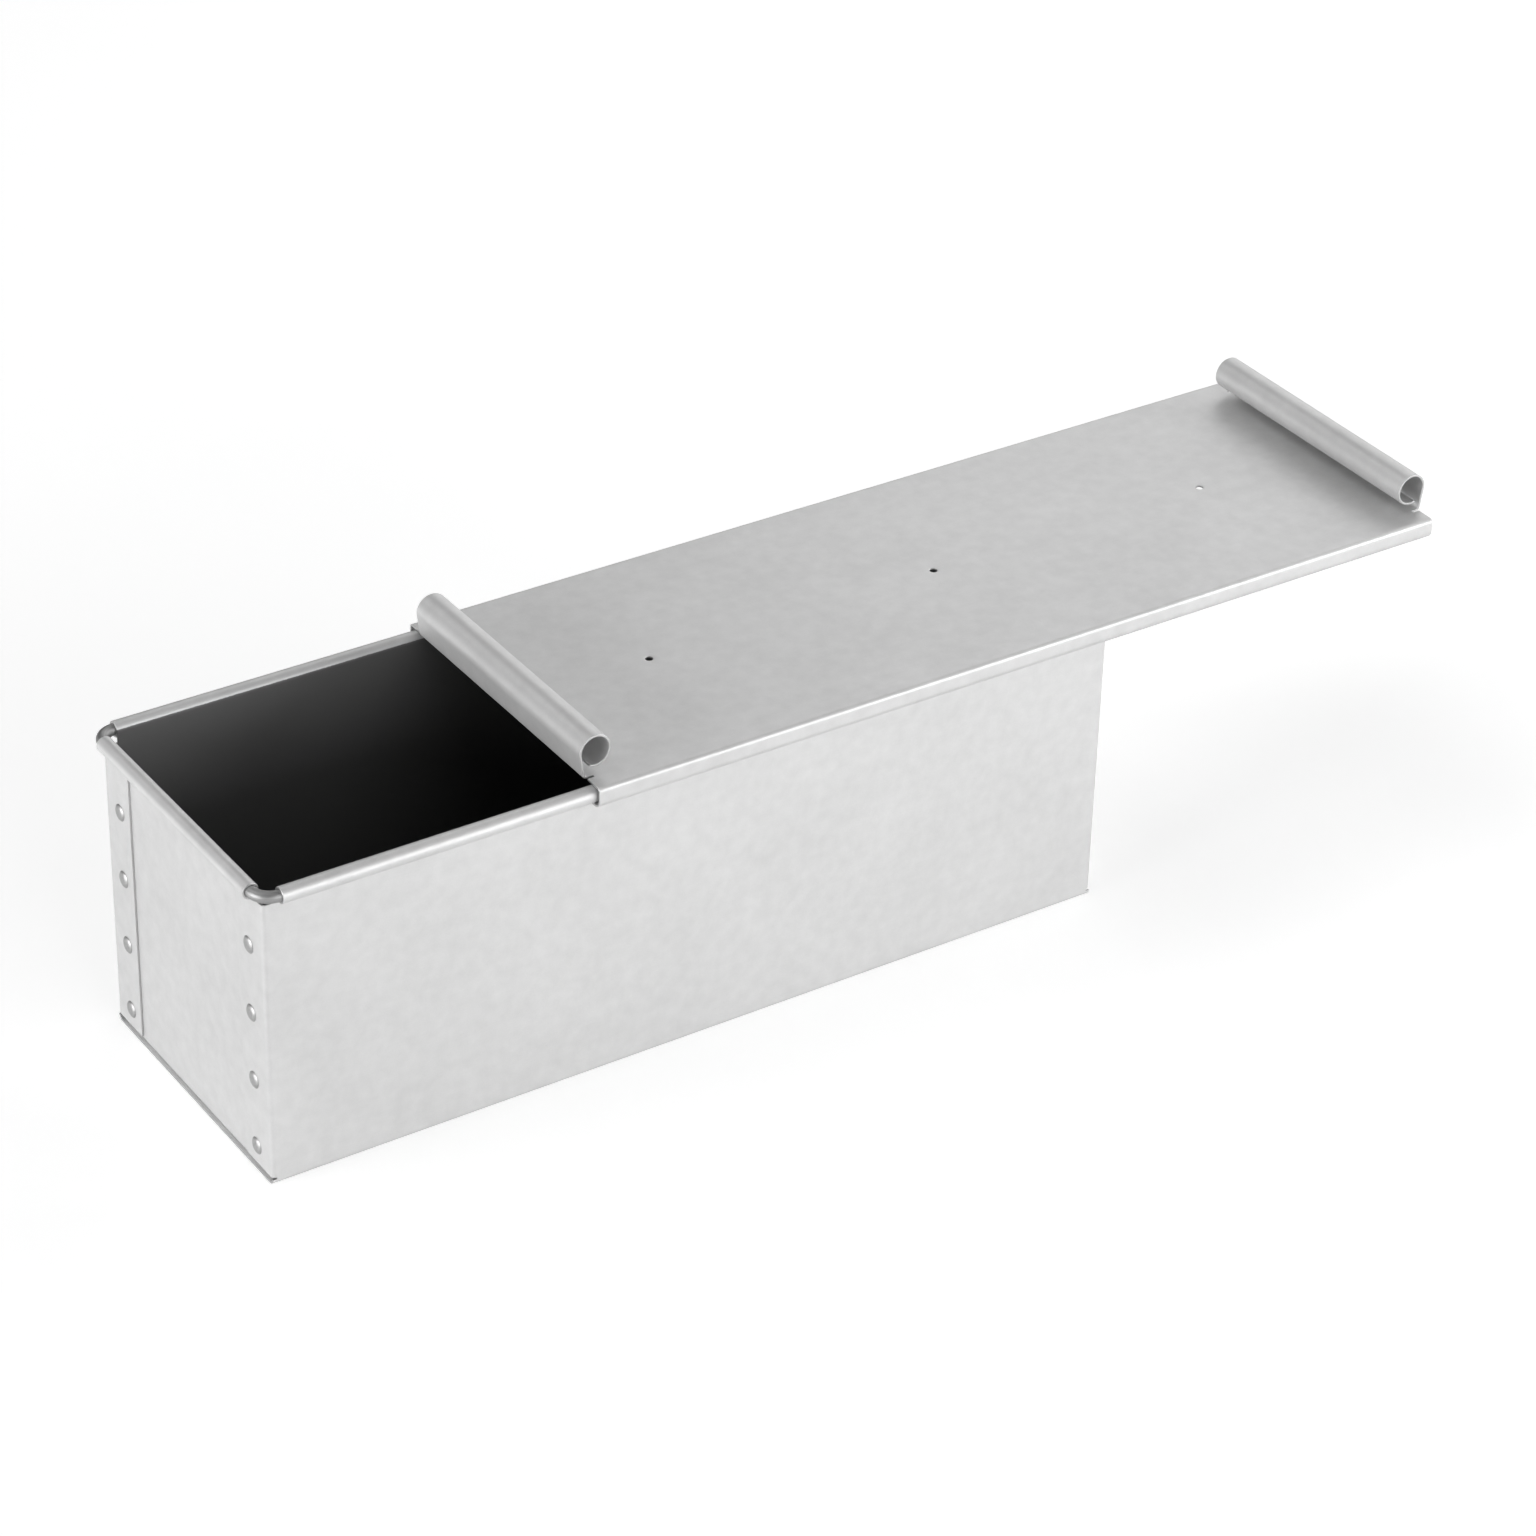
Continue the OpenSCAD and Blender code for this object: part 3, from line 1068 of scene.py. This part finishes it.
        # Rings stand closer together towards the hole
        t = 1 - (1 - np.linspace(0, 1, self.patch_rings + 1)) ** 1.6
        rings = square[None] * (1 - t)[:, None, None] + circle[None] * t[:, None, None]
        x, y = rings[..., 0] + centre, rings[..., 1]
        rise = self.relief(x, y)
        upper = np.stack([x, y, self.top + rise], 2)
        lower = np.stack([x, y, self.under + rise], 2)
        count, around = x.shape
        index = np.arange(count * around).reshape(count, around)
        beside = np.roll(index, -1, 1)
        top = np.stack([index[:-1], beside[:-1], beside[1:], index[1:]], 2).reshape(-1, 4)
        other = index.size
        wall = np.stack([index[-1], beside[-1], beside[-1] + other, index[-1] + other], 1)
        quads = np.concatenate([top, top[:, ::-1] + other, wall])
        kinds = np.full(len(quads), Face.SHEET.value)
        kinds[-around:] = Face.CUT_EDGE.value
        coat = np.concatenate([np.zeros(other), np.ones(other)])
        points = np.concatenate([upper.reshape(-1, 3), lower.reshape(-1, 3)])
        return Surface(points, quads, kinds, coat=coat)

    def build(self, finishes: "Finishes") -> None:
        """Makes the cover's piece, with the vent patches sewn into the plate.

        Args:
            finishes: the object's finishes.
        """
        middle = (self.vents - 1) / 2
        patches = [self.vent_patch((i - middle) * self.pitch) for i in range(self.vents)]
        whole = self.blank().surface().joined(patches)
        whole.points[:, 0] += self.drawn_out
        made = whole.make("cover_sheet", [finishes.sheet, finishes.cut_edge])
        sew(made, 1e-6)
        round_edges(made, EASED_EDGE)
        place(made, Body.COVER, ["lid"])


def sew(made: bpy.types.Object, distance: float) -> None:
    """Merges points of neighbouring surfaces that lie on each other.

    Args:
        made: the object.
        distance: how close they lie, in metres.
    """
    work = bmesh.new()
    work.from_mesh(made.data)
    bmesh.ops.remove_doubles(work, verts=work.verts, dist=distance)
    work.to_mesh(made.data)
    work.free()
    made.data.set_sharp_from_angle(angle=math.radians(SHARP_EDGE))


# Finishes


def linear(code: str) -> tuple[float, float, float, float]:
    """Turns an sRGB hex colour into the linear colour that nodes take.

    Args:
        code: the colour, as # and six digits.

    Returns:
        Red, green, blue and a full alpha.
    """
    parts = [int(code[i : i + 2], 16) / 255 for i in (1, 3, 5)]
    red, green, blue = (c / 12.92 if c <= 0.04045 else ((c + 0.055) / 1.055) ** 2.4 for c in parts)
    return red, green, blue, 1.0


def add(tree: bpy.types.NodeTree, kind: str, links: dict | None = None, **settings: object) -> bpy.types.Node:
    """Adds a node with its settings and links.

    Args:
        tree: the node tree.
        kind: the node's type.
        links: for inputs by name or number, a value, or an output socket to link from.
        settings: the node's own properties.

    Returns:
        The new node.
    """
    made = tree.nodes.new(kind)
    for key, value in settings.items():
        setattr(made, key, value)
    for key, value in (links or {}).items():
        if isinstance(value, bpy.types.NodeSocket):
            tree.links.new(value, made.inputs[key])
        else:
            made.inputs[key].default_value = value
    return made


def new_tree(name: str) -> tuple[bpy.types.Material, bpy.types.NodeTree]:
    """Makes a material with an empty node tree.

    Args:
        name: the material's name.

    Returns:
        The material and its tree.
    """
    material = bpy.data.materials.new(name)
    material.use_nodes = True
    material.node_tree.nodes.clear()
    return material, material.node_tree


@dataclass(frozen=True)
class CoatedSteelSheet:
    """Cold-rolled steel sheet: satin silver coating outside, dark non-stick where coat is 1.

    The silver side is a baked coating: aluminium flakes in a pale binder, so it shines partly as metal
    and partly as paint, with a soft, wide gleam and a grain of about half a millimetre. The non-stick
    is a sprayed, cured film: dark grey, and near-black in the shade of the pan, with a faint orange
    peel of about a millimetre and a low gleam. streak_mm is the length and width of the rolling
    streaks, and mist_mm the size of the wander at the film's edge.
    """

    name: str = "satin_coated_sheet"
    silver: str = "#d6d6d6"
    silver_metallic: float = 0.5
    silver_roughness: float = 0.5
    film: str = FILM
    film_roughness: float = 0.42
    grain_mm: float = 0.5
    mottle_mm: float = 5.0
    streak_mm: tuple[float, float] = (25.0, 0.625)
    mist_mm: float = 0.9
    peel_mm: float = 1.1
    cloud_mm: float = 38.0

    def material(self) -> bpy.types.Material:
        """Builds the material.

        Returns:
            One material whose two finishes are chosen by the coat attribute.
        """
        material, tree = new_tree(self.name)
        at = add(tree, "ShaderNodeTexCoord").outputs["Object"]
        coat = add(tree, "ShaderNodeAttribute", attribute_name=COAT).outputs["Fac"]
        # Overspray: the film's edge wanders by a fraction of a millimetre
        mist_scale = 1 / (self.mist_mm * MM)
        mist = add(tree, "ShaderNodeTexNoise", {"Vector": at, "Scale": mist_scale, "Detail": 3.0})
        shaken = add(
            tree,
            "ShaderNodeMath",
            {0: mist.outputs["Fac"], 1: 0.5, 2: coat},
            operation="MULTIPLY_ADD",
        )
        film = add(
            tree,
            "ShaderNodeMapRange",
            {"Value": shaken.outputs[0], "From Min": 0.62, "From Max": 0.88},
            interpolation_type="SMOOTHSTEP",
        ).outputs["Result"]
        cloud_scale = 1 / (self.cloud_mm * MM)
        cloud = add(tree, "ShaderNodeTexNoise", {"Vector": at, "Scale": cloud_scale, "Detail": 2.0})
        mottle_scale = 1 / (self.mottle_mm * MM)
        mottle = add(tree, "ShaderNodeTexNoise", {"Vector": at, "Scale": mottle_scale, "Detail": 3.0})
        grain_scale = 1 / (self.grain_mm * MM)
        grain = add(tree, "ShaderNodeTexNoise", {"Vector": at, "Scale": grain_scale, "Detail": 2.0})
        # Rolling direction: faint streaks along X
        long, wide = (1 / (size * MM) for size in self.streak_mm)
        streaks = add(tree, "ShaderNodeMapping", {"Vector": at, "Scale": (long, wide, wide)}).outputs[0]
        streak = add(tree, "ShaderNodeTexNoise", {"Vector": streaks, "Scale": 1.0, "Detail": 2.0})
        tone = add(
            tree,
            "ShaderNodeMath",
            {0: cloud.outputs["Fac"], 1: 0.6, 2: mottle.outputs["Fac"]},
            operation="MULTIPLY_ADD",
        )
        tone = add(
            tree,
            "ShaderNodeMath",
            {0: grain.outputs["Fac"], 1: 0.4, 2: tone.outputs[0]},
            operation="MULTIPLY_ADD",
        )
        tone = add(
            tree,
            "ShaderNodeMapRange",
            {"Value": tone.outputs[0], "From Min": 0.7, "From Max": 1.3, "To Min": 0.94, "To Max": 1.05},
        )
        silver = add(
            tree,
            "ShaderNodeMix",
            {0: 1.0, 6: linear(self.silver), 7: tone.outputs["Result"]},
            data_type="RGBA",
            blend_type="MULTIPLY",
        )
        colour = add(
            tree,
            "ShaderNodeMix",
            {0: film, 6: silver.outputs[2], 7: linear(self.film)},
            data_type="RGBA",
        )
        rough = add(
            tree,
            "ShaderNodeMapRange",
            {
                "Value": streak.outputs["Fac"],
                "From Min": 0.3,
                "From Max": 0.7,
                "To Min": self.silver_roughness - 0.03,
                "To Max": self.silver_roughness + 0.03,
            },
        )
        rough = add(tree, "ShaderNodeMix", {0: film, 2: rough.outputs["Result"], 3: self.film_roughness})
        metallic = add(tree, "ShaderNodeMix", {0: film, 2: self.silver_metallic, 3: 0.0})
        peel_scale = 1 / (self.peel_mm * MM)
        peel = add(tree, "ShaderNodeTexNoise", {"Vector": at, "Scale": peel_scale, "Detail": 1.0})
        height = add(tree, "ShaderNodeMix", {0: film, 2: grain.outputs["Fac"], 3: peel.outputs["Fac"]})
        bump = add(
            tree,
            "ShaderNodeBump",
            {"Strength": 0.22, "Distance": 0.03 * MM, "Height": height.outputs[0]},
        )
        shader = add(
            tree,
            "ShaderNodeBsdfPrincipled",
            {
                "Base Color": colour.outputs[2],
                "Roughness": rough.outputs[0],
                "Metallic": metallic.outputs[0],
                "Normal": bump.outputs["Normal"],
            },
        )
        add(tree, "ShaderNodeOutputMaterial", {"Surface": shader.outputs["BSDF"]})
        return material


@dataclass(frozen=True)
class BareSteel:
    """Uncoated steel: drawn wire, the sheared edges of the sheet, or pressed rivets.

    lines_mm is the spacing of the fine drawing or shearing lines that run with the piece.
    """

    name: str
    colour: str
    roughness: float
    lines_mm: float
    follows: bool = False
    coated: bool = True
    film: str = FILM

    def material(self) -> bpy.types.Material:
        """Builds the material.

        Returns:
            Grey steel with fine lines; on a coated piece, the film where the coat attribute is 1.
        """
        material, tree = new_tree(self.name)
        at = add(tree, "ShaderNodeTexCoord").outputs["Object"]
        if self.follows:
            # The attribute holds millimetres: length first, then the place around the wire
            at = add(tree, "ShaderNodeAttribute", attribute_name=ALONG).outputs["Vector"]
            scale = (0.05, 1 / self.lines_mm, 1 / self.lines_mm)
        else:
            scale = (1 / (self.lines_mm * MM),) * 3
        lines = add(tree, "ShaderNodeMapping", {"Vector": at, "Scale": scale})
        noise = add(tree, "ShaderNodeTexNoise", {"Vector": lines.outputs[0], "Scale": 1.0, "Detail": 3.0})
        tone = add(
            tree,
            "ShaderNodeMapRange",
            {"Value": noise.outputs["Fac"], "From Min": 0.3, "From Max": 0.7, "To Min": 0.86, "To Max": 1.08},
        )
        steel = add(
            tree,
            "ShaderNodeMix",
            {0: 1.0, 6: linear(self.colour), 7: tone.outputs["Result"]},
            data_type="RGBA",
            blend_type="MULTIPLY",
        )
        colour, metallic = steel.outputs[2], 1.0
        if self.coated:
            film = add(tree, "ShaderNodeAttribute", attribute_name=COAT).outputs["Fac"]
            mixed = add(tree, "ShaderNodeMix", {0: film, 6: colour, 7: linear(self.film)}, data_type="RGBA")
            colour = mixed.outputs[2]
            metallic = add(tree, "ShaderNodeMix", {0: film, 2: 1.0, 3: 0.0}).outputs[0]
        rough = add(
            tree,
            "ShaderNodeMapRange",
            {
                "Value": noise.outputs["Fac"],
                "From Min": 0.3,
                "From Max": 0.7,
                "To Min": self.roughness - 0.05,
                "To Max": self.roughness + 0.05,
            },
        )
        bump = add(
            tree,
            "ShaderNodeBump",
            {"Strength": 0.2, "Distance": 0.02 * MM, "Height": noise.outputs["Fac"]},
        )
        shader = add(
            tree,
            "ShaderNodeBsdfPrincipled",
            {
                "Base Color": colour,
                "Roughness": rough.outputs["Result"],
                "Metallic": metallic,
                "Normal": bump.outputs["Normal"],
            },
        )
        add(tree, "ShaderNodeOutputMaterial", {"Surface": shader.outputs["BSDF"]})
        return material


class Finishes:
    """The object's finishes, each built once."""

    def __init__(self) -> None:
        """Builds the four materials."""
        self.sheet = CoatedSteelSheet().material()
        self.cut_edge = BareSteel("sheared_steel_edge", "#c6c6c6", 0.45, 0.25).material()
        self.wire = BareSteel("drawn_steel_wire", "#a6a6a6", 0.55, 0.3, follows=True, coated=False).material()
        self.rivet = BareSteel("pressed_steel_rivet", "#b4b4b4", 0.5, 0.4).material()


# Studio


@dataclass(frozen=True)
class Softbox:
    """A square soft light that is aimed at the object.

    Its place is a compass angle from +X towards +Y, an angle above the floor, and a distance in
    metres. radiance is the brightness of its face.
    """

    name: str
    compass: float
    height: float
    radiance: float
    side: float = 1.4
    distance: float = 2.2

    def build(self, target: Vector) -> None:
        """Makes the light.

        Args:
            target: the point that it is aimed at, in metres.
        """
        a, h = math.radians(self.compass), math.radians(self.height)
        away = Vector((math.cos(a) * math.cos(h), math.sin(a) * math.cos(h), math.sin(h)))
        data = bpy.data.lights.new(self.name, "AREA")
        data.shape = "SQUARE"
        data.size = self.side
        data.energy = self.radiance * math.pi * self.side**2
        made = bpy.data.objects.new(self.name, data)
        made.location = target + away * self.distance
        made.rotation_euler = (-away).to_track_quat("-Z", "Y").to_euler()
        bpy.context.scene.collection.objects.link(made)


@dataclass(frozen=True)
class Studio:
    """White sweep, soft lights and the camera of the photograph.

    Places and the floor's reach are metres, angles degrees. floor_seen and floor_mirrored are the
    light that the floor gives to the camera and to reflections beside what it reflects itself;
    between the two distances of floor_lit the camera's share rises to white.
    """

    azimuth: float = -34.014
    elevation: float = 32.130
    roll: float = 1.563
    distance: float = 1.50118
    focal_pixels: float = 4718.82
    frame_pixels: float = 1536.0
    sensor: float = 36.0
    target: tuple[float, float, float] = (0.05647, -0.00012, 0.052)
    room: float = 0.03
    floor_reach: float = 12.0
    floor_colour: str = "#ececec"
    floor_seen: float = 0.42
    floor_lit: tuple[float, float] = (1.2, 1.5)
    floor_mirrored: float = 0.24
    lights: tuple[Softbox, ...] = (
        Softbox("left", 180, 4, 8.9),
        Softbox("front", 270, 4, 3.7),
        Softbox("front_high", 270, 38, 0.8),
        Softbox("front_right", 315, 4, 6.5),
        Softbox("right", 0, 18, 2.0),
        Softbox("right_high", 0, 38, 0.8),
        Softbox("rear_right", 45, 18, 0.7),
        Softbox("rear_right_high", 45, 38, 1.1),
        Softbox("rear_left", 135, 58, 1.7),
    )

    def camera(self) -> None:
        """Makes the camera: a look-back vector from azimuth and elevation, then a roll about it."""
        a, e, r = (math.radians(v) for v in (self.azimuth, self.elevation, self.roll))
        back = Vector((math.sin(a) * math.cos(e), -math.cos(a) * math.cos(e), math.sin(e)))
        right = Vector((math.cos(a), math.sin(a), 0.0))
        up = back.cross(right)
        right, up = math.cos(r) * right + math.sin(r) * up, math.cos(r) * up - math.sin(r) * right
        data = bpy.data.cameras.new("camera")
        data.sensor_width = self.sensor
        data.lens = self.focal_pixels / self.frame_pixels * self.sensor
        made = bpy.data.objects.new("camera", data)
        turn = Matrix((right, up, back)).transposed().to_4x4()
        made.matrix_world = Matrix.Translation(Vector(self.target) + back * self.distance) @ turn
        bpy.context.scene.collection.objects.link(made)
        bpy.context.scene.camera = made

    def floor(self) -> None:
        """Makes the pale floor: matt white, lifted a little for the camera and for reflections."""
        r = self.floor_reach
        corners = [(-r, -r, 0), (r, -r, 0), (r, r, 0), (-r, r, 0)]
        mesh = bpy.data.meshes.new("floor")
        mesh.from_pydata(corners, [], [(0, 1, 2, 3)])
        made = bpy.data.objects.new("floor", mesh)
        bpy.context.scene.collection.objects.link(made)
        material, tree = new_tree("white_sweep")
        rays = add(tree, "ShaderNodeLightPath").outputs
        mirrored = add(
            tree,
            "ShaderNodeMath",
            {0: rays["Is Glossy Ray"], 1: rays["Is Transmission Ray"]},
            operation="MAXIMUM",
        )
        mirrored = add(
            tree,
            "ShaderNodeMath",
            {0: mirrored.outputs[0], 1: self.floor_mirrored},
            operation="MULTIPLY",
        )
        # The lamps don't reach the floor behind them, so there the camera's share rises to white
        at = add(tree, "ShaderNodeTexCoord").outputs["Object"]
        away = add(tree, "ShaderNodeVectorMath", {0: at}, operation="LENGTH").outputs["Value"]
        near, far = self.floor_lit
        seen = add(
            tree,
            "ShaderNodeMapRange",
            {"Value": away, "From Min": near, "From Max": far, "To Min": self.floor_seen, "To Max": 1.0},
        )
        lift = add(
            tree,
            "ShaderNodeMath",
            {0: rays["Is Camera Ray"], 1: seen.outputs["Result"], 2: mirrored.outputs[0]},
            operation="MULTIPLY_ADD",
        )
        matt = add(tree, "ShaderNodeBsdfDiffuse", {"Color": linear(self.floor_colour)})
        glow = add(tree, "ShaderNodeEmission", {"Strength": lift.outputs[0]})
        both = add(tree, "ShaderNodeAddShader", {0: matt.outputs[0], 1: glow.outputs[0]})
        add(tree, "ShaderNodeOutputMaterial", {"Surface": both.outputs[0]})
        mesh.materials.append(material)

    def sky(self) -> None:
        """Makes the room: a white wall for the camera, and a dim grey room for the light."""
        world = bpy.data.worlds.new("room")
        world.use_nodes = True
        bpy.context.scene.world = world
        tree = world.node_tree
        tree.nodes.clear()
        seen = add(tree, "ShaderNodeLightPath").outputs["Is Camera Ray"]
        level = add(tree, "ShaderNodeMapRange", {"Value": seen, "To Min": self.room, "To Max": 1.0})
        light = add(tree, "ShaderNodeBackground", {"Strength": level.outputs["Result"]})
        add(tree, "ShaderNodeOutputWorld", {"Surface": light.outputs[0]})

    def build(self) -> None:
        """Makes the camera, the floor, the world and the lights."""
        self.camera()
        self.floor()
        self.sky()
        for light in self.lights:
            light.build(Vector(self.target))
        bpy.context.scene.view_settings.view_transform = "Standard"


def main() -> None:
    """Builds and dresses every piece, then the studio."""
    logging.basicConfig(level=logging.INFO, format="%(name)s %(message)s")
    finishes = Finishes()
    Trough().build(finishes)
    EndPanel().build(finishes)
    RimWire().build(finishes)
    Rivets().build(finishes)
    Cover().build(finishes)
    Studio().build()


if __name__ == "__main__":
    main()
